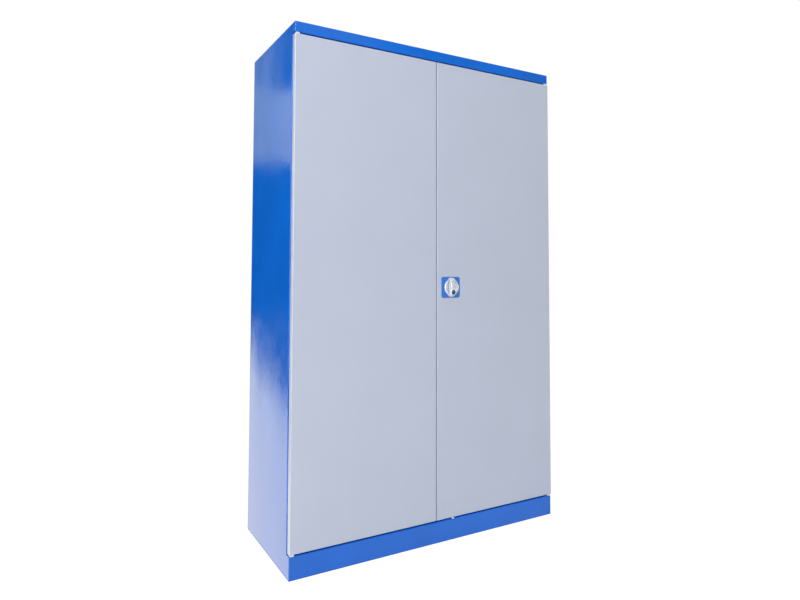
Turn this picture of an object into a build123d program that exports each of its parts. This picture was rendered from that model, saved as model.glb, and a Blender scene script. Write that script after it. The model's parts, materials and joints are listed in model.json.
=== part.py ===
from build123d import *
import math
import os

# Two-door steel tool cabinet. Millimetres, +Z up, the doors face -Y, and the origin is on the
# floor under the middle of the whole object, the turning knob included.

# Carcass
width = 1200.0
depth = 500.0              # fascia face to back
height = 1950.0
sheet = 1.0                # steel sheet
bend = 3.0                 # outside radius of a fold
fascia_height = 40.0
plinth_height = 80.0
wrap = 22.0                # side panels fold this far round every edge
post_width = 32.0
post_depth = 18.0
stop_height = 18.0         # upstand and downstand that the doors close against

# Doors
door_thickness = 22.0
door_proud = 4.0           # door face in front of the fascia
gap_top = 6.0
gap_bottom = 7.0
gap_centre = 4.0
gap_behind = 8.0           # door back to post
lip = 15.0                 # inner lip of a door pan
pivot_inset = 11.0         # pivot axis from the cabinet side

# Pivots
pin_radius = 4.0
running = 0.08             # radial clearance of a moving fit
bush_width = 12.0          # square nylon bushes in the door edges

# Shelves on slotted strips
shelf_tops = (430.0, 780.0, 1130.0, 1480.0)
shelf_height = 30.0
shelf_half_width = 586.0
shelf_setback = 52.0       # shelf front behind the door face
shelf_rear_gap = 8.0
strip_pitch = 87.5
strip_depth = 10.0
strip_half_width = 15.0
strip_bottom = 110.0
strip_top = 1880.0
slot_width = 13.0
slot_height = 5.0
clip_width = 12.0
clip_plate = 2.0
back_swage = 4.0           # depth of the grooves pressed in the back
swage_xs = (300.0, 0.0, -300.0)

# Lock: a knob turns a pinion between two racks, which throw the rods up and down
knob_reach = 24.0          # knob front in front of the door face
knob_x = 66.0
plate_width = 88.0
plate_height = 83.0
plate_thickness = 3.0
plate_corner = 8.0
knob_width = 71.5
knob_height = 77.0
module = 2.0
teeth = 12
pressure_angle = math.radians(25.0)
backlash = 0.25
gear_face = 6.0
rack_back = 6.0            # solid bar behind the rack's root line
rack_top = 62.0            # end of the rack's bar above the knob's axis
case_sheet = 1.5
case_half_height = 46.0
spindle_square = 7.0
journal_radius = 6.0
rod_radius = 4.0
rod_end_gap = 3.0          # drawn rod end inside the door edge
tongue_reach = 86.2
fixing_x = 29.0
fixing_z = 30.0
barrel_drop = 19.0         # key barrel below the knob's axis

# Worked out from the above
door_y = (knob_reach - depth - door_proud) / 2
front_y = door_y + door_proud
back_y = front_y + depth
door_back_y = door_y + door_thickness
post_y = door_back_y + gap_behind
pivot_y = door_y + door_thickness / 2
pivot_x = width / 2 - pivot_inset
seam_x = width / 2 - wrap
stop_x = width / 2 - post_width
ledge_low = plinth_height
ledge_high = height - fascia_height
door_low = ledge_low + gap_bottom
door_high = ledge_high - gap_top
knob_z = (door_low + door_high) / 2
shelf_y = door_y + shelf_setback
shelf_back_y = back_y - shelf_rear_gap
pitch_radius = module * teeth / 2
rack_x = pitch_radius + 1.25 * module + rack_back / 2
front = Plane(origin=(knob_x, door_y, knob_z), x_dir=(1, 0, 0), z_dir=(0, -1, 0))
ledge_centre = (ledge_low + ledge_high) / 2
ledge_span = ledge_high - ledge_low


def block(x0, x1, y0, y1, z0, z1):
    """A plain block between two corners, mostly used to cut with."""
    centre = Pos((x0 + x1) / 2, (y0 + y1) / 2, (z0 + z1) / 2)
    return centre * Box(abs(x1 - x0), abs(y1 - y0), abs(z1 - z0))


def upright(x, y, z0, z1, radius):
    """Vertical cylinder."""
    return Pos(x, y, (z0 + z1) / 2) * Cylinder(radius, z1 - z0)


def along_y(x, z, y0, y1, radius):
    """Cylinder through the door's thickness."""
    return Pos(x, (y0 + y1) / 2, z) * Rot(90, 0, 0) * Cylinder(radius, y1 - y0)


def folded(plane, points, radii, length, gauge=sheet, side=Side.LEFT):
    """Folded strip: points run along one face, the sheet lies on the given side of them.

    With no radii the folds are tight ones.
    """
    line = FilletPolyline(*points, radius=radii) if radii else Polyline(*points)
    kind = Kind.ARC if radii else Kind.INTERSECTION
    section = make_face(offset(line, amount=gauge, side=side, kind=kind))
    return extrude(plane * section, amount=length / 2, both=True)


def across(x=0.0):
    """Plane of a section that runs along X: local x is +Y, local y is +Z."""
    return Plane(origin=(x, 0, 0), x_dir=(0, 1, 0), z_dir=(1, 0, 0))


def level(z):
    """Plane of a section that runs along Z: local x is +X, local y is +Y."""
    return Plane(origin=(0, 0, z))


def along(y):
    """Plane of a section that runs along Y: local x is +X, local y is +Z."""
    return Plane(origin=(0, y, 0), x_dir=(1, 0, 0), z_dir=(0, -1, 0))


def rounded(edges, inset):
    """Bends along the edges: true arcs outside, and a flat inside that keeps the thickness."""
    if inset:
        return chamfer(edges, (bend - inset) * (2 - math.sqrt(2)))
    return fillet(edges, bend)


def mirrored(shape):
    return mirror(shape, about=Plane.YZ)


def joined(pieces):
    """Separate solids kept together as one node."""
    return Compound(children=[solid for piece in pieces for solid in piece.solids()])


# Carcass


def carcass_form(inset):
    """Closed form of the carcass with its door recess, every face drawn in by inset."""
    edge_x = width / 2 - inset
    low = ledge_low - inset
    high = ledge_high + inset
    recess_y = post_y + inset
    form = block(-edge_x, edge_x, front_y + inset, back_y - inset, inset, height - inset)
    form -= block(-width, width, front_y - 1, recess_y, low, high)
    folds = form.edges().filter_by(Axis.Z)
    for edge in form.edges().filter_by(Axis.X):
        if edge.center().Y < recess_y - 0.1 and edge.center().Z > low - 0.1:
            folds.append(edge)
    for edge in form.edges().filter_by(Axis.Y):
        if edge.center().Z > high + 0.1:
            folds.append(edge)
    return rounded(folds, inset)


def side_panel(skin):
    """Left side: wall, all four returns, the front post and the corner pieces round the doors."""
    wall = skin & block(-width / 2, -seam_x, front_y, back_y, 0, height)
    post_edge = -width / 2 + post_width
    post = folded(
        level(ledge_centre),
        [(-seam_x, post_y), (post_edge, post_y), (post_edge, post_y + post_depth)],
        bend,
        ledge_span,
    )
    punch = RegularPolygon(pin_radius + running, 8, major_radius=False)
    for z in (ledge_low, ledge_high):
        wall -= extrude(Plane((-pivot_x, pivot_y, z)) * punch, amount=9, both=True)
    return wall + post


def front_seam_strips(z0, z1):
    """Strips behind the face that carry the seams with the side panels."""
    strip = block(seam_x - 16, seam_x + 16, front_y + sheet, front_y + 2 * sheet, z0, z1)
    return strip + mirrored(strip)


def rod_hole(x, z):
    """Square hole that a rod is thrown into, through a ledge at z."""
    half = rod_radius + 1.5
    return block(x - half, x + half, pivot_y - half, pivot_y + half, z - 10, z + 10)


def plinth(skin):
    """Plinth with its base flange, the ledge under the doors and the door stop."""
    rear_y = post_y + sheet
    face = skin & block(-seam_x, seam_x, front_y, rear_y, 0, ledge_low)
    face += skin & block(-stop_x, stop_x, post_y, rear_y, 0, ledge_low + stop_height)
    return face + front_seam_strips(6, 70) - rod_hole(knob_x + rack_x, ledge_low)


def fascia(skin):
    """Fascia with its top flange, the ledge over the doors and the door stop."""
    rear_y = post_y + sheet
    face = skin & block(-seam_x, seam_x, front_y, rear_y, ledge_high, height)
    face += skin & block(-stop_x, stop_x, post_y, rear_y, ledge_high - stop_height, height)
    face += front_seam_strips(ledge_high + 9, height - 6)
    return face - rod_hole(knob_x - rack_x, ledge_high)


def roof(skin):
    """Roof sheet, folded down at the back, with joggled edges under the flanges round it."""
    top = skin & block(-seam_x, seam_x, post_y + sheet, back_y, height - 22, height)
    low = height - 2 * sheet
    high = height - sheet
    edge = block(seam_x - 4, seam_x + 18, post_y + sheet, back_y - 4, low, high)
    lead = block(-seam_x, seam_x, post_y - 16, post_y + 5, low, high)
    return top + edge + mirrored(edge) + lead


def back_panel():
    """Back sheet with three grooves pressed inwards, a base flange and two wall holes."""
    y = back_y - sheet
    points = [(width / 2 - 4, y)]
    for x in swage_xs:
        points += [(x + 22, y), (x + 14, y - back_swage)]
        points += [(x - 14, y - back_swage), (x - 22, y)]
    points.append((-width / 2 + 4, y))
    panel = folded(level(height / 2), points, None, height - 8)
    foot_points = [(y - 18, 0), (y, 0), (y, 34)]
    panel += folded(across(), foot_points, None, 2 * seam_x - 4)
    for x in (-450, 450):
        panel -= along_y(x, 1880, y - 10, y + 10, 4.25)
    return panel


def floor_panel():
    """Floor pan: lip up against the door stop, folded down at the back and the sides."""
    rear = back_y - 2 * sheet
    lead = post_y + sheet
    points = [
        (lead, ledge_low + 12),
        (lead, ledge_low - sheet),
        (rear - sheet, ledge_low - sheet),
        (rear - sheet, ledge_low - 16),
    ]
    pan = folded(across(), points, None, width - 8)
    edge = width / 2 - sheet
    flange = folded(
        along((lead + rear) / 2),
        [(-edge + 40, ledge_low), (-edge, ledge_low), (-edge, ledge_low - 16)],
        None,
        rear - lead - 16,
    )
    pan += flange + mirrored(flange)
    for x in swage_xs:
        pan -= block(x - 26, x + 26, rear - back_swage - 1, rear + 1, 0, ledge_low + 1)
    for x in (-width / 2, width / 2):
        reach = post_width + 1
        pan -= block(x - reach, x + reach, lead - 1, lead + 9, ledge_low, ledge_low + 20)
    return pan


def hat_points(half_web, depth_in, half_foot):
    """Half-open hat section about x = 0, standing on y = 0."""
    return [
        (-half_foot, 0),
        (-half_web, 0),
        (-half_web, depth_in),
        (half_web, depth_in),
        (half_web, 0),
        (half_foot, 0),
    ]


def roof_stiffener():
    """Hat section under the roof, from side to side."""
    y = (post_y + back_y) / 2
    points = [(y + a, height - 2 * sheet + sheet - b) for a, b in hat_points(25, 20, 42)]
    return folded(across(), points, None, 2 * seam_x - 20, side=Side.RIGHT)


def slotted_strip(y):
    """Hat-section strip on the left side wall, with a slot at every shelf level."""
    wall = -width / 2 + sheet
    hat = hat_points(strip_half_width, strip_depth - sheet, strip_half_width + 12)
    points = [(wall + b, y + a) for a, b in hat]
    strip = folded(
        level((strip_bottom + strip_top) / 2),
        points,
        None,
        strip_top - strip_bottom,
        side=Side.RIGHT,
    )
    web = wall + strip_depth - sheet / 2
    slots = []
    z = shelf_tops[0] - shelf_height - clip_plate - 3 * strip_pitch
    while z + slot_height < strip_top - 20:
        slot = block(
            web - 2, web + 2, y - slot_width / 2, y + slot_width / 2, z, z + slot_height
        )
        slots.append(slot)
        z += strip_pitch
    return strip - slots


def shelf(top):
    """Shelf pan, folded down on four sides, its front and rear folds closed by a lip."""
    low = top - shelf_height
    length = 2 * shelf_half_width - 6
    points = [(shelf_y, low), (shelf_y, top), (shelf_back_y, top), (shelf_back_y, low)]
    pan = folded(across(), points, 2.5, length, side=Side.RIGHT)
    for y, inward in ((shelf_y, 1), (shelf_back_y, -1)):
        lip_y = y + 12 * inward
        turn = Side.LEFT if inward > 0 else Side.RIGHT
        closing = [(y, low), (lip_y, low), (lip_y, low + 9)]
        pan += folded(across(), closing, None, length, side=turn)
    edge = folded(
        along((shelf_y + shelf_back_y) / 2),
        [(-shelf_half_width + 30, top), (-shelf_half_width, top), (-shelf_half_width, low)],
        None,
        shelf_back_y - shelf_y - 8,
    )
    return pan + edge + mirrored(edge)


def shelf_stiffener(top):
    """Hat section under the middle of a shelf."""
    y = (shelf_y + shelf_back_y) / 2
    points = [(y + a, top - sheet - b) for a, b in hat_points(25, 22, 40)]
    return folded(across(), points, None, 2 * shelf_half_width - 24, side=Side.RIGHT)


def shelf_clip(y, low):
    """Clip hooked down in a slot of a left-hand strip, its tongue under the shelf's edge."""
    face = -width / 2 + sheet + strip_depth
    hook = face - sheet - 0.3
    outline = Polyline(
        (hook - clip_plate, low),
        (hook - clip_plate, low - 9),
        (hook, low - 9),
        (hook, low - clip_plate),
        (face, low - clip_plate),
        (face, low - 16),
        (face + clip_plate, low - 16),
        (face + clip_plate, low - clip_plate),
        (face + 15, low - clip_plate),
        (face + 15, low),
        close=True,
    )
    clip = extrude(along(y) * make_face(outline), amount=clip_width / 2, both=True)
    gusset_line = Polyline(
        (face + clip_plate, low - clip_plate),
        (face + clip_plate, low - 14),
        (face + 12, low - clip_plate),
        close=True,
    )
    return clip + extrude(along(y) * make_face(gusset_line), amount=1.5, both=True)


def on_both_sides(pieces):
    return joined(pieces + [mirrored(piece) for piece in pieces])


def shelf_clips(strip_ys):
    left = [shelf_clip(y, top - shelf_height) for top in shelf_tops for y in strip_ys]
    return on_both_sides(left)


# Pivots


def flipped(shape):
    """The same piece upside down at the other end of the door opening."""
    return mirror(shape, about=Plane.XY.offset(ledge_centre))


def pivot_bracket():
    """Plate under the left-hand ledge, with the stud that the door turns on."""
    high = ledge_low - sheet
    plate = block(-width / 2 + 4, -seam_x + 8, front_y + 1.3, post_y - 1, high - 3, high)
    lead = plate.edges().filter_by(Axis.X).group_by(Axis.Y)[0].sort_by(Axis.Z)[-1]
    return chamfer(lead, 2) + upright(-pivot_x, pivot_y, high, door_low + 8, pin_radius)


def square_bush(x, z, inward, collar):
    """Nylon bush with a square body in a door edge at z, its collar in the gap outside."""
    half = bush_width / 2
    body = block(x - half, x + half, pivot_y - half, pivot_y + half, z, z + 8 * inward)
    if collar:
        wide = half + 1
        body += block(
            x - wide, x + wide, pivot_y - wide, pivot_y + wide, z - collar * inward, z
        )
    return body - upright(x, pivot_y, z - 9, z + 9, rod_radius + running)


def bush_hole(x, z):
    """Square hole for a bush, through a door edge at z."""
    half = bush_width / 2
    return block(x - half, x + half, pivot_y - half, pivot_y + half, z - 3, z + 3)


def door_buffer(x, z):
    """Rubber button on a door stop, eight-sided and tapered."""
    plane = Plane(origin=(x, post_y, z), x_dir=(1, 0, 0), z_dir=(0, -1, 0))
    return extrude(plane * RegularPolygon(5, 8), amount=gap_behind - 0.3, taper=8)


# Doors


def door_form(inset):
    """Closed form of the left door, drawn in by inset."""
    x0 = -width / 2 + inset
    x1 = -gap_centre / 2 - inset
    form = block(
        x0, x1, door_y + inset, door_back_y - inset, door_low + inset, door_high - inset
    )
    return rounded(form.edges().filter_by(Axis.Y, reverse=True), inset)


def door_pan():
    """Left door: a pan of one sheet with a lip all round its open back."""
    window = block(
        -width / 2 + lip,
        -gap_centre / 2 - lip,
        door_back_y - 2 * sheet,
        door_back_y + 1,
        door_low + lip,
        door_high - lip,
    )
    pan = door_form(0) - door_form(sheet) - window
    for z in (door_low, door_high):
        pan -= bush_hole(-pivot_x, z)
    return pan


def door_stiffener():
    """Upright hat section on the inside of the left door's skin."""
    x = -width / 4
    points = [(x + a, door_y + sheet + b) for a, b in hat_points(30, 18, 50)]
    return folded(level(knob_z), points, None, door_high - door_low - 36)


def right_door_pan():
    """Right door: as the left one, with the openings for the lock and its rods."""
    pan = mirrored(door_pan())
    pan -= bush_hole(knob_x - rack_x, door_high)
    pan -= bush_hole(knob_x + rack_x, door_low)
    openings = [(knob_x, knob_z, journal_radius + 0.5)]
    openings += [(x, z, 4.2) for x, z in fixing_points()]
    for x, z, half in openings:
        pan -= block(x - half, x + half, door_y - 1, door_y + 3, z - half, z + half)
    return pan


def fixing_points():
    """Where the handle plate and the lock case are screwed together through the skin."""
    offsets = ((-fixing_x, fixing_z), (fixing_x, -fixing_z))
    return [(knob_x + x, knob_z + z) for x, z in offsets]


def striker():
    """Wear plate that backs the left door's lip where the tongue bears on it."""
    x1 = -gap_centre / 2 - bend
    y1 = door_back_y - sheet
    plate = block(x1 - 18, x1, y1 - 2, y1, knob_z - 30, knob_z + 30)
    return chamfer(plate.edges().filter_by(Axis.Y), 3)


# Lock


def handle_plate():
    """Moulded plate with rounded corners and two square bosses that pass through the skin."""
    outline = RectangleRounded(plate_width, plate_height, plate_corner)
    plate = extrude(front * outline, amount=plate_thickness)
    plate = chamfer(plate.faces().sort_by(Axis.Y)[0].edges(), 0.8)
    for x, z in fixing_points():
        plate += block(x - 4, x + 4, door_y - 1, door_y + sheet, z - 4, z + 4)
    return plate - along_y(knob_x, knob_z, door_y - 9, door_y + 9, journal_radius + running)


def pointed_oval(half_width, half_height, half_end):
    """Face between two arcs, cut off square at its top and bottom to half_end either side."""
    spread = (half_height**2 + half_end**2 - half_width**2) / (2 * (half_width - half_end))
    radius = half_width + spread
    arcs = Pos(spread, 0) * Circle(radius) & Pos(-spread, 0) * Circle(radius)
    return arcs & Rectangle(3 * half_width, 2 * half_height)


def knob():
    """Zinc knob: rimmed pointed-oval flange, finger hollows and an arched grip between them."""
    base = plate_thickness + 0.2
    rim = base + 5.8
    outline = fillet(pointed_oval(knob_width / 2, knob_height / 2, 9.5).vertices(), 5)
    flange = extrude(front.offset(base) * outline, amount=rim - base)
    flange = chamfer(flange.faces().sort_by(Axis.Y)[0].edges(), 0.9)
    hollow = pointed_oval(knob_width / 2 - 4.5, knob_height / 2 - 4.5, 8)
    flange -= extrude(front.offset(base + 2.6) * hollow, amount=9)
    plan = pointed_oval(13, knob_height / 2 - 3, 7.5)
    grip = extrude(front.offset(base + 2) * plan, amount=knob_reach, taper=7)
    arch_radius = 58.0
    arch = front * Pos(0, 0, knob_reach - arch_radius) * Rot(0, 90, 0)
    grip = grip & (arch * Cylinder(arch_radius, 60))
    grip = chamfer(grip.faces().sort_by(Axis.Y)[0].edges(), 1.5)
    shaft = extrude(front.offset(-1.8) * Circle(journal_radius), amount=base + 3)
    body = flange + grip + shaft
    body -= front * Pos(0, 0, 5) * Box(spindle_square, spindle_square, 14)
    barrel = along_y(knob_x, knob_z - barrel_drop, door_y - 40, door_y - 8, 7)
    return body - barrel


def barrel_housing():
    """Sleeve of the key barrel, pressed in the lower half of the grip."""
    z = knob_z - barrel_drop
    sleeve = along_y(knob_x, z, door_y - 20.6, door_y - 8, 7)
    return sleeve - along_y(knob_x, z, door_y - 30, door_y - 9, 5 + running)


def key_barrel():
    """Turning core of the key barrel, with its keyway."""
    z = knob_z - barrel_drop
    core = along_y(knob_x, z, door_y - 20.2, door_y - 9.1, 5)
    return core - block(knob_x - 0.9, knob_x + 0.9, door_y - 30, door_y - 11, z - 3, z + 4)


def spindle():
    """Square bar from the knob to the tongue, with a threaded end."""
    half = spindle_square / 2
    bar = block(
        knob_x - half, knob_x + half, door_y - 12, door_y + 26, knob_z - half, knob_z + half
    )
    return bar + along_y(knob_x, knob_z, door_y + 26, door_y + 33, 3)


def tooth_flank(base_radius, outer_radius, steps=2):
    """Points of one involute flank, from the base circle out, as (angle, radius)."""
    points = []
    for step in range(steps + 1):
        radius = base_radius + (outer_radius - base_radius) * step / steps
        roll = math.acos(base_radius / radius)
        points.append((math.tan(roll) - roll, radius))
    return points


def pinion():
    """Involute teeth and a journal that runs in the case, bored square for the spindle."""
    base_radius = pitch_radius * math.cos(pressure_angle)
    outer = pitch_radius + module
    root = pitch_radius - 1.25 * module
    at_pitch = math.tan(pressure_angle) - pressure_angle
    half_tooth = math.pi / (2 * teeth) - backlash / (2 * pitch_radius) + at_pitch
    points = []
    for tooth in range(teeth):
        middle = 2 * math.pi * tooth / teeth
        flank = [(half_tooth, root)]
        flank += [(half_tooth - angle, r) for angle, r in tooth_flank(base_radius, outer)]
        for angle, radius in [(-a, r) for a, r in flank] + flank[::-1]:
            turn = middle + angle
            points.append((radius * math.cos(turn), radius * math.sin(turn)))
    gear = make_face(Polyline(*points, close=True))
    face_depth = door_thickness / 2 + gear_face / 2
    wheel = extrude(front.offset(-face_depth) * gear, amount=gear_face)
    wheel += along_y(knob_x, knob_z, door_y + 13, door_y + 23, journal_radius)
    half = spindle_square / 2
    return wheel - block(
        knob_x - half, knob_x + half, door_y, door_y + 30, knob_z - half, knob_z + half
    )


def rack():
    """Left-hand rack: straight-sided teeth that face the pinion, the rod welded on its top."""
    pitch = math.pi * module
    gap_half = pitch / 4 + backlash / 2
    lean = math.tan(pressure_angle)
    root = -pitch_radius - 1.25 * module
    tip = -pitch_radius + module
    points = [(root - rack_back, rack_top), (root - rack_back, -34), (root, -34)]
    for number in range(-5, 2):
        middle = (number + 0.5) * pitch
        at_root = pitch / 2 - gap_half + 1.25 * module * lean
        at_tip = pitch / 2 - gap_half - module * lean
        points += [(root, middle - at_root), (tip, middle - at_tip)]
        points += [(tip, middle + at_tip), (root, middle + at_root)]
    points.append((root, rack_top))
    face_depth = door_thickness / 2 + gear_face / 2
    outline = make_face(Polyline(*points, close=True))
    return extrude(front.offset(-face_depth) * outline, amount=gear_face)


def rod():
    """Upper rod, from the top of its rack to the door's edge, coned at the tip."""
    high = door_high - rod_end_gap
    bar = upright(knob_x - rack_x, pivot_y, knob_z + rack_top, high, rod_radius)
    return chamfer(bar.edges().group_by(Axis.Z)[-1], 5, 2)


def opposite(shape):
    """The lower half of the drive: the upper one turned half a turn about the knob's axis."""
    return Pos(knob_x, 0, knob_z) * Rot(0, 180, 0) * Pos(-knob_x, 0, -knob_z) * shape


def lock_case():
    """Folded case: cheeks that guide the racks, a bearing for the pinion and two windows."""
    cheek = rack_x + rack_back / 2 + 0.2
    hat = hat_points(cheek, door_thickness - 3.5 - sheet, cheek + 15)
    points = [(knob_x + a, door_y + sheet + b) for a, b in hat]
    case = folded(level(knob_z), points, None, 2 * case_half_height, gauge=case_sheet)
    case -= along_y(knob_x, knob_z, door_y, door_y + 30, journal_radius + running)
    window = block(
        knob_x + 9.5, knob_x + 17.5, door_y + 15, door_y + 30, knob_z - 17, knob_z + 17
    )
    case -= window + opposite(window)
    for x, z in fixing_points():
        outward = 20 if x > knob_x else -20
        case -= block(x - outward / 8, x + outward, door_y, door_y + 9, z - 2.5, z + 2.5)
    return case


def case_screws():
    """Screws through the notches in the case feet, on the faces of the plate's bosses."""
    face = door_y + sheet + case_sheet
    screws = []
    for x, z in fixing_points():
        plane = Plane(origin=(x, face, z), x_dir=(1, 0, 0), z_dir=(0, 1, 0))
        shank = extrude(plane * RegularPolygon(2.2, 6), amount=-case_sheet)
        screws.append(shank + extrude(plane * RegularPolygon(4.04, 6), amount=2.8))
    return joined(screws)


def tongue():
    """Lever behind the doors: points down when drawn, behind the left door when thrown."""
    outline = make_hull(
        (Circle(13).edges() + (Pos(0, -tongue_reach) * Circle(8)).edges())
    )
    lever = extrude(front.offset(-26) * outline, amount=3)
    half = spindle_square / 2
    return lever - block(
        knob_x - half, knob_x + half, door_y, door_y + 30, knob_z - half, knob_z + half
    )


def tongue_nut():
    """Nut on the spindle's threaded end."""
    nut = extrude(front.offset(-31) * RegularPolygon(5.77, 6), amount=5)
    return nut - along_y(knob_x, knob_z, door_y + 20, door_y + 40, 3)


def rod_guide(x, z):
    """Bracket spot-welded on the door skin, with a square hole that steadies a rod."""
    skin_y = door_y + sheet
    points = [(skin_y, z - 22), (skin_y, z), (pivot_y + 9, z)]
    bracket = folded(across(x), points, None, 28, gauge=2.0, side=Side.RIGHT)
    half = rod_radius + running
    return bracket - block(x - half, x + half, pivot_y - half, pivot_y + half, z - 9, z + 9)


def build_all():
    """Every node by name."""
    skin = carcass_form(0) - carcass_form(sheet)
    nodes = {}
    left_side = side_panel(skin)
    nodes["left_side"] = left_side
    nodes["right_side"] = mirrored(left_side)
    nodes["plinth_front"] = plinth(skin)
    nodes["top_fascia"] = fascia(skin)
    nodes["roof_panel"] = roof(skin)
    nodes["back_panel"] = back_panel()
    nodes["floor_panel"] = floor_panel()
    nodes["roof_stiffener"] = roof_stiffener()

    strip_ys = {"front": shelf_y + 60, "rear": shelf_back_y - 70}
    for place, y in strip_ys.items():
        strip = slotted_strip(y)
        nodes[f"left_{place}_strip"] = strip
        nodes[f"right_{place}_strip"] = mirrored(strip)
    for number, top in enumerate(shelf_tops, 1):
        nodes[f"shelf_{number}"] = shelf(top)
    nodes["shelf_stiffeners"] = joined([shelf_stiffener(top) for top in shelf_tops])
    nodes["shelf_clips"] = shelf_clips(strip_ys.values())

    bracket = pivot_bracket()
    nodes["pivot_brackets"] = on_both_sides([bracket, flipped(bracket)])
    stops = (ledge_low + stop_height / 2 + 2, ledge_high - stop_height / 2 - 2)
    nodes["door_buffers"] = on_both_sides([door_buffer(-60, z) for z in stops])

    nodes["left_door_panel"] = door_pan()
    nodes["right_door_panel"] = right_door_pan()
    stiffener = door_stiffener()
    nodes["left_door_stiffener"] = stiffener
    nodes["right_door_stiffener"] = mirrored(stiffener)
    bushes = joined(
        [
            square_bush(-pivot_x, door_low, 1, gap_bottom - 0.15),
            square_bush(-pivot_x, door_high, -1, gap_top - 0.3),
        ]
    )
    nodes["left_door_bushes"] = bushes
    nodes["right_door_bushes"] = mirrored(bushes)
    nodes["striker_plate"] = striker()

    nodes["handle_plate"] = handle_plate()
    nodes["lock_case"] = lock_case()
    nodes["case_screws"] = case_screws()
    guide = rod_guide(knob_x - rack_x, (knob_z + door_high) / 2)
    nodes["rod_guides"] = joined([guide, opposite(guide)])
    rod_bush = square_bush(knob_x - rack_x, door_high, -1, 0)
    nodes["rod_bushes"] = joined([rod_bush, opposite(rod_bush)])

    nodes["knob"] = knob()
    nodes["barrel_housing"] = barrel_housing()
    nodes["key_barrel"] = key_barrel()
    nodes["spindle"] = spindle()
    nodes["pinion"] = pinion()
    nodes["tongue"] = tongue()
    nodes["tongue_nut"] = tongue_nut()
    for place, turn in (("upper", lambda shape: shape), ("lower", opposite)):
        nodes[f"{place}_rack"] = turn(rack())
        nodes[f"{place}_rod"] = turn(rod())
    return nodes


os.makedirs("parts", exist_ok=True)
for name, shape in build_all().items():
    export_step(shape, f"parts/{name}.step")
    print(name, len(shape.solids()), round(shape.volume))
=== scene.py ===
import json
import math

import bmesh
import bpy
from mathutils import Euler, Matrix, Vector


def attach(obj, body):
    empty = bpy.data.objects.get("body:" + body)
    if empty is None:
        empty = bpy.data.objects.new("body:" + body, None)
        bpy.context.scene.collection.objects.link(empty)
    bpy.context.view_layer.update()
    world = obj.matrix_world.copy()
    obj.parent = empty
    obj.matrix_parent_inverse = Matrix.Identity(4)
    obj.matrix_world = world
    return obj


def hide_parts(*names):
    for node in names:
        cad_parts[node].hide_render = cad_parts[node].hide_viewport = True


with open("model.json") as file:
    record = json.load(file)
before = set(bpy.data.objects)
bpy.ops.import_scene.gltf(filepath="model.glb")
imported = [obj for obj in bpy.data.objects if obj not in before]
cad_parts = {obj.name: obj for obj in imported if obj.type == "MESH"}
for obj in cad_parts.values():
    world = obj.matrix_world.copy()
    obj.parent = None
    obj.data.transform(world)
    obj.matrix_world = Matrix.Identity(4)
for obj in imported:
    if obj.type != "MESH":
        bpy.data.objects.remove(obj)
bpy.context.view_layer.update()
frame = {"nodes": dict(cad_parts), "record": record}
nodes = frame["nodes"]
scene = bpy.context.scene
scene.view_settings.view_transform = "Standard"
print("frame:", len(nodes), "nodes")


# Camera

cameraSet = {
    "place": (-1.329, -2.2626, 1.0495),
    "turn": (92.795, -0.186, -29.845),  # degrees
    "lens": 27.32,
    "sensor": 36.0,
    "shiftY": -0.07,
}


def radians(angles):
    return [math.radians(angle) for angle in angles]


cameraData = bpy.data.cameras.new("camera")
cameraData.lens = cameraSet["lens"]
cameraData.sensor_width = cameraSet["sensor"]
cameraData.shift_y = cameraSet["shiftY"]
camera = bpy.data.objects.new("camera", cameraData)
camera.location = cameraSet["place"]
camera.rotation_euler = radians(cameraSet["turn"])
scene.collection.objects.link(camera)
scene.camera = camera
print("camera set")


# Finishes

noiseSpan = (0.3, 0.7)  # most of a noise's values lie between these


def addNode(material, kind, inputs=None, **settings):
    node = material.node_tree.nodes.new(kind)
    for name, value in settings.items():
        setattr(node, name, value)
    for name, value in (inputs or {}).items():
        node.inputs[name].default_value = value
    return node


def link(material, source, output, target, entry):
    material.node_tree.links.new(source.outputs[output], target.inputs[entry])


def startFinish(name, colour, roughness, metallic=0.0):
    material = bpy.data.materials.new(name)
    material.use_nodes = True
    shader = material.node_tree.nodes["Principled BSDF"]
    shader.inputs["Base Color"].default_value = (*colour, 1)
    shader.inputs["Roughness"].default_value = roughness
    shader.inputs["Metallic"].default_value = metallic
    place = addNode(material, "ShaderNodeTexCoord")
    return material, shader, place


def noiseAt(material, place, scale, detail=2.0, stretch=None):
    noise = addNode(material, "ShaderNodeTexNoise", {"Scale": scale, "Detail": detail})
    if stretch:
        mapping = addNode(material, "ShaderNodeMapping", {"Scale": stretch})
        link(material, place, "Object", mapping, "Vector")
        link(material, mapping, "Vector", noise, "Vector")
    else:
        link(material, place, "Object", noise, "Vector")
    return noise


def spread(material, source, output, low, high, fromSpan=noiseSpan):
    span = addNode(
        material, "ShaderNodeMapRange",
        {"From Min": fromSpan[0], "From Max": fromSpan[1], "To Min": low, "To Max": high})
    link(material, source, output, span, "Value")
    return span


def tint(material, source, output, darker, lighter):
    ramp = addNode(material, "ShaderNodeValToRGB")
    for stop, position, colour in zip(ramp.color_ramp.elements, noiseSpan, (darker, lighter)):
        stop.position = position
        stop.color = (*colour, 1)
    link(material, source, output, ramp, "Fac")
    return ramp


# Each layer is a source, its output, a strength and a depth in metres
def addBump(material, shader, layers):
    last = None
    for source, output, strength, distance in layers:
        bump = addNode(material, "ShaderNodeBump", {"Strength": strength, "Distance": distance})
        link(material, source, output, bump, "Height")
        if last:
            link(material, last, "Normal", bump, "Normal")
        last = bump
    link(material, last, "Normal", shader, "Normal")


def shade(colour, factor):
    return tuple(min(1.0, channel * factor) for channel in colour)


def cloudedColour(material, source, output, colour, drift):
    return tint(material, source, output, shade(colour, 1 - drift), shade(colour, 1 + drift))


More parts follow.
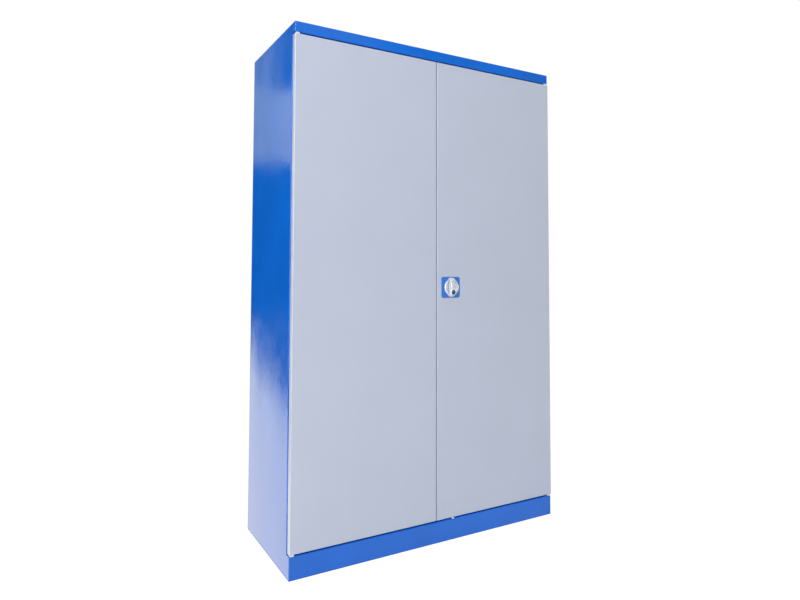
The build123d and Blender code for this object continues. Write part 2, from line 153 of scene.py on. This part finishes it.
def powderCoat(name, settings):
    colour = settings["colour"]
    material, shader, place = startFinish(name, colour, settings["roughness"])
    cloud = noiseAt(material, place, settings["cloudScale"])
    colours = cloudedColour(material, cloud, "Fac", colour, settings["drift"])
    link(material, colours, "Color", shader, "Base Color")
    patches = noiseAt(material, place, settings["patchScale"], detail=3.0)
    low, high = settings["roughSpan"]
    gloss = spread(material, patches, "Fac", low, high)
    link(material, gloss, "Result", shader, "Roughness")
    peel = noiseAt(material, place, settings["peelScale"], detail=1.0)
    wave = noiseAt(material, place, settings["waveScale"], detail=1.0, stretch=settings["waveStretch"])
    mottle = noiseAt(material, place, settings["mottleScale"])
    addBump(material, shader, [
        (wave, "Fac", 1.0, settings["waveDepth"]),
        (mottle, "Fac", 1.0, settings["mottleDepth"]),
        (peel, "Fac", settings["peelStrength"], settings["peelDepth"]),
    ])
    return material


carcassCoat = {
    "colour": (0.004, 0.145, 0.66),
    "roughness": 0.13,
    "roughSpan": (0.1, 0.17),
    "cloudScale": 5.0,
    "drift": 0.06,
    "patchScale": 14.0,
    "peelScale": 420.0,
    "peelStrength": 0.25,
    "peelDepth": 0.00015,
    "mottleScale": 60.0,
    "mottleDepth": 0.00034,
    "waveScale": 3.0,
    "waveStretch": (1.0, 1.6, 0.7),
    "waveDepth": 0.0018,
}

doorCoat = {
    "colour": (0.515, 0.565, 0.68),
    "roughness": 0.36,
    "roughSpan": (0.32, 0.42),
    "cloudScale": 4.0,
    "drift": 0.012,
    "patchScale": 12.0,
    "peelScale": 520.0,
    "peelStrength": 0.25,
    "peelDepth": 0.0003,
    "mottleScale": 60.0,
    "mottleDepth": 0.00008,
    "waveScale": 2.0,
    "waveStretch": (1.0, 1.0, 0.5),
    "waveDepth": 0.002,
}

metalSets = {
    "galvanised": {
        "colour": (0.62, 0.64, 0.66),
        "roughSpan": (0.34, 0.5),
        "grain": 55.0,
        "lines": 300.0,
        "drift": 0.09,
        "metal": 1.0,
    },
    "zincPlated": {
        "colour": (0.68, 0.68, 0.66),
        "roughSpan": (0.24, 0.36),
        "grain": 120.0,
        "lines": 700.0,
        "drift": 0.08,
        "metal": 1.0,
    },
    "satinChrome": {
        "colour": (0.61, 0.625, 0.69),
        "roughSpan": (0.22, 0.3),
        "grain": 260.0,
        "lines": 1500.0,
        "drift": 0.03,
        "metal": 0.34,
        "hollow": (-0.2436, 0.76),  # depth along Y, and the painted shade's colour factor there
        "raisedHighlight": (-0.2508, 1.32),   # the same for the painted highlight on the raised rim and grip
    },
    "darkMetal": {
        "colour": (0.035, 0.04, 0.055),
        "roughSpan": (0.36, 0.46),
        "grain": 400.0,
        "lines": 2500.0,
        "drift": 0.05,
        "metal": 0.2,
    },
}

scratch = {"strength": 0.12, "depth": 0.0003}


def metalFinish(name, settings, spangle=False):
    colour = settings["colour"]
    low, high = settings["roughSpan"]
    material, shader, place = startFinish(name, colour, (low + high) / 2, settings["metal"])
    if spangle:
        crystals = addNode(material, "ShaderNodeTexVoronoi", {"Scale": settings["grain"]})
        link(material, place, "Object", crystals, "Vector")
        tones = addNode(material, "ShaderNodeSeparateColor")
        link(material, crystals, "Color", tones, "Color")
        source, output = tones, "Red"
    else:
        source, output = noiseAt(material, place, settings["grain"], detail=3.0), "Fac"
    colours = cloudedColour(material, source, output, colour, settings["drift"])
    # Painted shade and highlight: the colour is darker deep in the knob's dish and lighter on its
    # raised rim and grip, by depth along Y
    if "hollow" in settings:
        axes = addNode(material, "ShaderNodeSeparateXYZ")
        link(material, place, "Object", axes, "Vector")
        (deep, shadeFactor), (front, highlightFactor) = settings["hollow"], settings["raisedHighlight"]
        paintedLight = spread(material, axes, "Y", shadeFactor, highlightFactor, (deep, front))
        paintedLightColour = addNode(material, "ShaderNodeVectorMath", operation="SCALE")
        link(material, colours, "Color", paintedLightColour, 0)
        link(material, paintedLight, "Result", paintedLightColour, "Scale")
        link(material, paintedLightColour, "Vector", shader, "Base Color")
    else:
        link(material, colours, "Color", shader, "Base Color")
    gloss = spread(material, source, output, low, high)
    link(material, gloss, "Result", shader, "Roughness")
    scratches = noiseAt(material, place, settings["lines"])
    addBump(material, shader, [(scratches, "Fac", scratch["strength"], scratch["depth"])])
    return material


mouldSets = {
    "plateBlue": {"colour": (0.024, 0.175, 0.63), "roughness": 0.32, "grain": 900.0, "strength": 0.2},
    "nylon": {"colour": (0.76, 0.77, 0.81), "roughness": 0.5, "grain": 500.0, "strength": 0.15},
    "rubber": {"colour": (0.02, 0.02, 0.02), "roughness": 0.75, "grain": 700.0, "strength": 0.3},
}

mould = {                # shared by all three
    "drift": 0.07,
    "roughDrift": (-0.04, 0.05),
    "cloudShare": 0.05,  # the clouds' scale as a share of the grain's
    "grainDepth": 0.0003,
}


def mouldedFinish(name, settings):
    colour = settings["colour"]
    material, shader, place = startFinish(name, colour, settings["roughness"])
    cloud = noiseAt(material, place, settings["grain"] * mould["cloudShare"])
    colours = cloudedColour(material, cloud, "Fac", colour, mould["drift"])
    link(material, colours, "Color", shader, "Base Color")
    low, high = [settings["roughness"] + step for step in mould["roughDrift"]]
    gloss = spread(material, cloud, "Fac", low, high)
    link(material, gloss, "Result", shader, "Roughness")
    grain = noiseAt(material, place, settings["grain"])
    addBump(material, shader, [(grain, "Fac", settings["strength"], mould["grainDepth"])])
    return material


finishes = {
    "carcass_paint": powderCoat("carcass_coat", carcassCoat),
    "door_paint": powderCoat("door_coat", doorCoat),
    "galvanised_sheet": metalFinish("galvanised", metalSets["galvanised"], spangle=True),
    "zinc_plated_steel": metalFinish("zinc_plated", metalSets["zincPlated"]),
    "handle_zinc": metalFinish("satin_chrome", metalSets["satinChrome"]),
    "barrel_metal": metalFinish("dark_metal", metalSets["darkMetal"]),
    "plate_plastic": mouldedFinish("plate_blue", mouldSets["plateBlue"]),
    "bush_nylon": mouldedFinish("nylon", mouldSets["nylon"]),
    "buffer_rubber": mouldedFinish("rubber", mouldSets["rubber"]),
}

for part in frame["record"]["subparts"]:
    mesh = nodes[part["node"]].data
    mesh.materials.clear()
    mesh.materials.append(finishes[part["material_slot"]])
print("finishes on every node")


# Lock furniture: drawn flat about the knob's axis, +Z towards the viewer, then stood up

plateSet = {
    "centre": (0.066, -0.24, 0.9955),  # on the knob's axis, in the door's face
    "width": 0.088,
    "height": 0.083,
    "thick": 0.003,
    "corner": 0.008,
    "cornerSteps": 10,
    "edge": 0.0012,
    "edgeSteps": 4,
}

knobSet = {
    "lift": 0.0032,       # underside above the door's face
    "width": 0.0942,      # across the side points, before they are rounded off
    "height": 0.077,
    "endWidth": 0.017,
    "sideRound": 0.033,   # run of the rounding along each flank
    "sideSteps": 28,
    "endRound": 0.0034,
    "endSteps": 6,
    "rim": [              # inset and rise of each ring, up the wall and down into the dish
        (0.0, 0.0050), (0.0004, 0.0016), (0.0012, 0.0014), (0.0025, 0.0005), (0.0035, -0.0005),
        (0.0046, -0.0020), (0.0054, -0.0020), (0.0082, -0.0018), (0.0119, -0.0013), (0.0161, -0.0007)],
    "rimSharp": 60,       # degrees
}

gripSet = {
    "lift": 0.0047,       # sunk into the flange's dish
    "width": 0.026,
    "height": 0.071,
    "endWidth": 0.015,
    "segments": 144,
    "rings": [            # inset and rise of each ring
        (0.0012, 0.0100), (0.0022, 0.0078), (0.0025, 0.0009), (0.0030, 0.0005), (0.0038, 0.0001)],
    "arch": 0.058,        # radius of the curve along the top
    "archStep": 0.0026,
    "archCuts": 12,       # each way from the middle
    "sharp": 50,          # degrees
}

barrelSet = {
    "drop": 0.019,        # key's axis below the knob's
    "sleeve": [           # radius and height round the sleeve's wall
        (0.0056, 0.0080), (0.0056, 0.0228), (0.0060, 0.0234), (0.0066, 0.0236), (0.0071, 0.0234),
        (0.0075, 0.0228), (0.0075, 0.0080)],
    "ovalStretch": 1.3,   # of the outer wall, up and down
    "boreLimit": 0.0059,  # what lies nearer the axis stays round
    "segments": 48,
    "coreRadius": 0.0054,
    "coreFace": 0.0227,
    "coreBack": 0.0092,
    "keyway": (0.0018, 0.007, 0.004),  # width, length, depth
    "keywayLip": 0.0001,
}

weld = 1e-6
smoothUnder = 38          # degrees


def standUp(surface, place):
    turn = Matrix.Translation(Vector(place)) @ Matrix.Rotation(math.radians(90), 4, "X")
    bmesh.ops.transform(surface, matrix=turn, verts=surface.verts)


def finishPiece(name, surface, body, slot, sharp=smoothUnder):
    bmesh.ops.remove_doubles(surface, verts=surface.verts, dist=weld)
    bmesh.ops.recalc_face_normals(surface, faces=surface.faces)
    mesh = bpy.data.meshes.new(name)
    surface.to_mesh(mesh)
    surface.free()
    mesh.shade_smooth()
    mesh.set_sharp_from_angle(angle=math.radians(sharp))
    mesh.materials.append(finishes[slot])
    piece = bpy.data.objects.new(name, mesh)
    scene.collection.objects.link(piece)
    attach(piece, body)
    return piece


def geometry(surface):
    return surface.verts[:] + surface.edges[:] + surface.faces[:]


def cut(surface, place, normal, clear=False):
    bmesh.ops.bisect_plane(
        surface, geom=geometry(surface), plane_co=place, plane_no=normal, clear_outer=clear)


# A flat oval of two arcs with blunt, softened ends
def pointedOval(surface, settings, endCuts=5, rounds=3, endShare=0.9):
    halfWidth, halfHeight, halfEnd = [settings[key] / 2 for key in ("width", "height", "endWidth")]
    shift = (halfHeight**2 + halfEnd**2 - halfWidth**2) / (2 * (halfWidth - halfEnd))
    bmesh.ops.create_circle(
        surface, cap_ends=True, segments=settings["segments"], radius=halfWidth + shift,
        matrix=Matrix.Translation((shift, 0, 0)))
    cut(surface, (0, 0, 0), (1, 0, 0), clear=True)
    cut(surface, (0, halfHeight, 0), (0, 1, 0), clear=True)
    cut(surface, (0, -halfHeight, 0), (0, -1, 0), clear=True)
    bmesh.ops.mirror(surface, geom=geometry(surface), axis="X", merge_dist=weld)
    middle = [edge for edge in surface.edges if all(abs(vert.co.x) < weld for vert in edge.verts)]
    bmesh.ops.dissolve_edges(surface, edges=middle)
    ends = [
        edge for edge in surface.edges
        if all(abs(vert.co.y) > halfHeight - weld for vert in edge.verts)]
    bmesh.ops.subdivide_edges(surface, edges=ends, cuts=endCuts)
    for _ in range(rounds):
        near = [vert for vert in surface.verts if abs(vert.co.y) > halfHeight * endShare]
        bmesh.ops.smooth_vert(surface, verts=near, factor=0.5, use_axis_x=True, use_axis_y=True)


def topFaces(surface):
    height = max(vert.co.z for vert in surface.verts)
    return [face for face in surface.faces if all(vert.co.z > height - weld for vert in face.verts)]


def extrudeUp(surface, faces, height):
    isFirst = all(edge.is_boundary for face in faces for edge in face.edges)
    grown = bmesh.ops.extrude_face_region(surface, geom=faces)["geom"]
    if not isFirst:  # the first flat stays as the underside, and a later one would be a wall inside
        covered = [face for face in faces if face.is_valid]
        bmesh.ops.delete(surface, geom=covered, context="FACES_ONLY")
    verts = [item for item in grown if isinstance(item, bmesh.types.BMVert)]
    bmesh.ops.translate(surface, verts=verts, vec=(0, 0, height))
    return [item for item in grown if isinstance(item, bmesh.types.BMFace)], verts


# Lifts a face ring by ring, each one set in from the outline by so much
def stackRings(surface, rings):
    halves = [max(abs(vert.co[axis]) for vert in surface.verts) for axis in (0, 1)]
    top, last = surface.faces[:], 0.0
    for inset, rise in rings:
        top, verts = extrudeUp(surface, top, rise)
        across, along = [(half - inset) / (half - last) for half in halves]
        bmesh.ops.scale(surface, vec=(across, along, 1), verts=verts)
        last = inset


def handlePlate(settings):
    surface = bmesh.new()
    bmesh.ops.create_grid(surface, x_segments=1, y_segments=1, size=0.5)
    bmesh.ops.scale(surface, vec=(settings["width"], settings["height"], 1), verts=surface.verts)
    bmesh.ops.bevel(
        surface, geom=surface.verts[:], offset=settings["corner"], segments=settings["cornerSteps"],
        affect="VERTICES", profile=0.5, material=-1)
    top, _ = extrudeUp(surface, surface.faces[:], settings["thick"])
    rim = list({edge for face in top for edge in face.edges})
    bmesh.ops.bevel(
        surface, geom=rim, offset=settings["edge"], segments=settings["edgeSteps"], affect="EDGES",
        profile=0.5, material=-1)
    standUp(surface, settings["centre"])
    return finishPiece("plate_cover", surface, "right_door", "plate_plastic")


# A flat diamond with blunt ends and well rounded sides
def softLozenge(surface, settings):
    width, height = settings["width"], settings["height"]
    bmesh.ops.create_circle(surface, cap_ends=True, segments=4, radius=width / 2)
    stretch = (height / width) / (1 - settings["endWidth"] / width)
    bmesh.ops.scale(surface, vec=(1, stretch, 1), verts=surface.verts)
    cut(surface, (0, height / 2, 0), (0, 1, 0), clear=True)
    cut(surface, (0, -height / 2, 0), (0, -1, 0), clear=True)
    sides = [vert for vert in surface.verts if abs(vert.co.y) < weld]
    bmesh.ops.bevel(
        surface, geom=sides, offset=settings["sideRound"], segments=settings["sideSteps"],
        affect="VERTICES", profile=0.5, material=-1)
    ends = [vert for vert in surface.verts if abs(vert.co.y) > height / 2 - weld]
    bmesh.ops.bevel(
        surface, geom=ends, offset=settings["endRound"], segments=settings["endSteps"],
        affect="VERTICES", profile=0.5, material=-1)


def knobFlange(settings, centre):
    surface = bmesh.new()
    softLozenge(surface, settings)
    bmesh.ops.translate(surface, verts=surface.verts, vec=(0, 0, settings["lift"]))
    stackRings(surface, settings["rim"])
    standUp(surface, centre)
    return finishPiece("knob_flange", surface, "handle", "handle_zinc", settings["rimSharp"])


def knobGrip(settings, centre):
    surface = bmesh.new()
    pointedOval(surface, settings)
    low = settings["lift"]
    bmesh.ops.translate(surface, verts=surface.verts, vec=(0, 0, low))
    stackRings(surface, settings["rings"])
    for step in range(-settings["archCuts"], settings["archCuts"] + 1):
        cut(surface, (0, step * settings["archStep"], 0), (0, 1, 0))
    reach = max(vert.co.z for vert in surface.verts) - low
    for vert in surface.verts:
        sag = settings["arch"] - math.sqrt(settings["arch"] ** 2 - vert.co.y ** 2)
        vert.co.z -= sag * (vert.co.z - low) / reach
    standUp(surface, centre)
    return finishPiece("knob_grip", surface, "handle", "handle_zinc", settings["sharp"])


def barrelSleeve(settings, centre):
    surface = bmesh.new()
    verts = [surface.verts.new((radius, 0, height)) for radius, height in settings["sleeve"]]
    for first, second in zip(verts, verts[1:] + verts[:1]):
        surface.edges.new((first, second))
    bmesh.ops.spin(
        surface, geom=geometry(surface), cent=(0, 0, 0), axis=(0, 0, 1), angle=math.tau,
        steps=settings["segments"], use_merge=True)
    outer = [vert for vert in surface.verts if vert.co.xy.length > settings["boreLimit"]]
    bmesh.ops.scale(surface, vec=(1, settings["ovalStretch"], 1), verts=outer)
    standUp(surface, centre)
    return finishPiece("barrel_sleeve", surface, "handle", "barrel_metal")


def keyCore(settings, centre):
    surface = bmesh.new()
    bmesh.ops.create_circle(
        surface, cap_ends=True, segments=settings["segments"], radius=settings["coreRadius"])
    bmesh.ops.translate(surface, verts=surface.verts, vec=(0, 0, settings["coreBack"]))
    extrudeUp(surface, surface.faces[:], settings["coreFace"] - settings["coreBack"])
    width, length, depth = settings["keyway"]
    for side in (-1, 1):
        cut(surface, (side * width / 2, 0, 0), (1, 0, 0))
        cut(surface, (0, side * length / 2, 0), (0, 1, 0))
    slot = [face for face in topFaces(surface) if face.calc_center_median().xy.length < width / 4]
    bmesh.ops.inset_region(
        surface, faces=slot, thickness=settings["keywayLip"], depth=-depth, use_even_offset=True)
    standUp(surface, centre)
    return finishPiece("key_core", surface, "key_cylinder", "barrel_metal")


plateCover = handlePlate(plateSet)
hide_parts("handle_plate")
flange = knobFlange(knobSet, plateSet["centre"])
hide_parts("knob")
grip = knobGrip(gripSet, plateSet["centre"])
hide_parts("knob")
keyCentre = Vector(plateSet["centre"]) - Vector((0, 0, barrelSet["drop"]))
sleeve = barrelSleeve(barrelSet, keyCentre)
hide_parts("barrel_housing")
core = keyCore(barrelSet, keyCentre)
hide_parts("key_barrel")
print("lock furniture modelled")


# Studio

studio = {
    "floorSize": 120.0,
    "floorColour": (0.9, 0.9, 0.92),
    "floorRoughness": 0.8,
    "floorGlow": 0.7,       # share of the floor's own light in what the camera sees
    "floorLevel": 1.2936,   # strength of that light, which with the lit paper makes a plain white
    "skyLight": 0.35,
    "boardColour": (0.01, 0.012, 0.02),
}

lamps = {
    "key": {"place": (-3.2, -4.2, 3.6), "aim": (0.0, -0.2, 1.1), "size": 3.0, "watts": 190.0},
    "fill": {"place": (4.0, -4.0, 2.4), "aim": (0.2, -0.2, 0.9), "size": 3.0, "watts": 30.0,
             "mirrored": False},
    "side": {"place": (-4.2, 0.2, 2.2), "aim": (-0.6, 0.0, 1.0), "size": 2.0, "watts": 40.0},
}

# Boards that only reflections see: dark flags, and pale ones with a glow of their own
boards = {
    "backFlag": {"place": (-4.6, 12.0, 8.0), "turn": (90, 0, 17), "size": (26.0, 16.0), "glow": 0.0},
    "frontFlag": {"place": (3.2, -4.2, 3.4), "turn": (90, 0, 37), "size": (11.0, 6.8), "glow": 0.12},
    "floorFlag": {"place": (-5.1, 6.2, 0.0012), "turn": (0, 0, 14.7), "size": (9.0, 18.0), "glow": 0.0},
    "frontFloor": {"place": (1.6, -2.236, 0.003), "turn": (0, 0, 0), "size": (4.4, 4.0), "glow": 0.85},
    "sweep": {
        "place": (-1.05, 5.1, 0.0022), "turn": (0, 0, 11.4), "size": (2.0, 13.0), "glow": 2.0,
        "tone": (1.0, 0.93, 0.64),
        "endsAt": -0.599,  # along X, level with the carcass
    },
    "apron": {
        "place": (-1.48, -1.08, 0.0016), "turn": (0, 0, 0), "size": (1.7, 1.66), "glow": 5.0,
        "tone": (0.9, 0.95, 1.0),
    },
    "softbox": {
        "place": (-2.1, 12.15, 6.0), "turn": (90, 0, 17), "size": (4.2, 4.8), "glow": 0.65,
        "tone": (1.0, 0.98, 0.35),
    },
    "window": {
        "place": (-5.26, 11.15, 4.5), "turn": (90, 0, 17), "size": (2.0, 1.7), "glow": 1.1,
        "tone": (1.0, 1.0, 0.6),
    },
    "edgeBoard": {
        "place": (-4.4, -2.2, 1.3), "turn": (90, 0, -63), "size": (5.0, 4.2), "glow": 4.5,
        "tone": (0.9, 0.95, 1.0),
    },
    "topBoard": {"place": (1.2, -5.2, 4.2), "turn": (90, 0, 20), "size": (2.0, 2.0), "glow": 0.6},
    "frontBoard": {"place": (-2.3, -5.0, 1.6), "turn": (90, 0, -18), "size": (1.7, 4.0), "glow": 2.8},
}


def plainPlane(name, size, place=(0, 0, 0), turn=(0, 0, 0), endsAt=None):
    surface = bmesh.new()
    bmesh.ops.create_grid(surface, x_segments=1, y_segments=1, size=0.5)
    bmesh.ops.scale(surface, vec=(*size, 1), verts=surface.verts)
    turned = Euler(radians(turn)).to_matrix().to_4x4()
    bmesh.ops.transform(surface, matrix=Matrix.Translation(place) @ turned, verts=surface.verts)
    if endsAt is not None:
        cut(surface, (endsAt, 0, 0), (1, 0, 0), clear=True)
    mesh = bpy.data.meshes.new(name)
    surface.to_mesh(mesh)
    surface.free()
    plane = bpy.data.objects.new(name, mesh)
    scene.collection.objects.link(plane)
    material = bpy.data.materials.new(name)
    material.use_nodes = True
    mesh.materials.append(material)
    return plane, material.node_tree


# 1 on camera rays and on those that metal, gloss or glass send on, otherwise 0
def seenDirectly(tree):
    path = tree.nodes.new("ShaderNodeLightPath")
    seen = path.outputs["Is Camera Ray"]
    for ray in ("Is Glossy Ray", "Is Transmission Ray"):
        either = tree.nodes.new("ShaderNodeMath")
        either.operation = "MAXIMUM"
        tree.links.new(seen, either.inputs[0])
        tree.links.new(path.outputs[ray], either.inputs[1])
        seen = either.outputs[0]
    return seen


world = bpy.data.worlds.new("studio")
scene.world = world
world.use_nodes = True
sky = world.node_tree.nodes["Background"]
sky.inputs["Color"].default_value = (1, 1, 1, 1)
level = world.node_tree.nodes.new("ShaderNodeMapRange")
level.inputs["To Min"].default_value = studio["skyLight"]
level.inputs["To Max"].default_value = 1.0
world.node_tree.links.new(seenDirectly(world.node_tree), level.inputs["Value"])
world.node_tree.links.new(level.outputs["Result"], sky.inputs["Strength"])

floor, floorTree = plainPlane("floor", (studio["floorSize"], studio["floorSize"]))
paper = floorTree.nodes["Principled BSDF"]
paper.inputs["Base Color"].default_value = (*studio["floorColour"], 1)
paper.inputs["Roughness"].default_value = studio["floorRoughness"]
paper.inputs["Specular IOR Level"].default_value = 0.0
glow = floorTree.nodes.new("ShaderNodeEmission")
share = floorTree.nodes.new("ShaderNodeMath")
share.operation = "MULTIPLY"
share.inputs[1].default_value = studio["floorGlow"]
mix = floorTree.nodes.new("ShaderNodeMixShader")
floorTree.links.new(seenDirectly(floorTree), share.inputs[0])
floorTree.links.new(share.outputs[0], mix.inputs[0])
floorTree.links.new(paper.outputs[0], mix.inputs[1])
floorTree.links.new(glow.outputs[0], mix.inputs[2])
floorTree.links.new(mix.outputs[0], floorTree.nodes["Material Output"].inputs["Surface"])
glow.inputs["Strength"].default_value = studio["floorLevel"]

for name, board in boards.items():
    plane, tree = plainPlane(name, board["size"], board["place"], board["turn"], board.get("endsAt"))
    plane.visible_camera = False
    plane.visible_diffuse = False
    plane.visible_shadow = False
    cloth = tree.nodes["Principled BSDF"]
    cloth.inputs["Base Color"].default_value = (*studio["boardColour"], 1)
    cloth.inputs["Roughness"].default_value = 1.0
    cloth.inputs["Specular IOR Level"].default_value = 0.0
    cloth.inputs["Emission Color"].default_value = (*board.get("tone", (1.0, 1.0, 1.0)), 1)
    cloth.inputs["Emission Strength"].default_value = board["glow"]

for name, lamp in lamps.items():
    light = bpy.data.lights.new(name, "AREA")
    light.shape = "SQUARE"
    light.size = lamp["size"]
    light.energy = lamp["watts"]
    holder = bpy.data.objects.new(name, light)
    holder.location = lamp["place"]
    aim = Vector(lamp["aim"]) - Vector(lamp["place"])
    holder.rotation_euler = aim.to_track_quat("-Z", "Y").to_euler()
    holder.visible_glossy = lamp.get("mirrored", True)
    scene.collection.objects.link(holder)
print("studio lit")
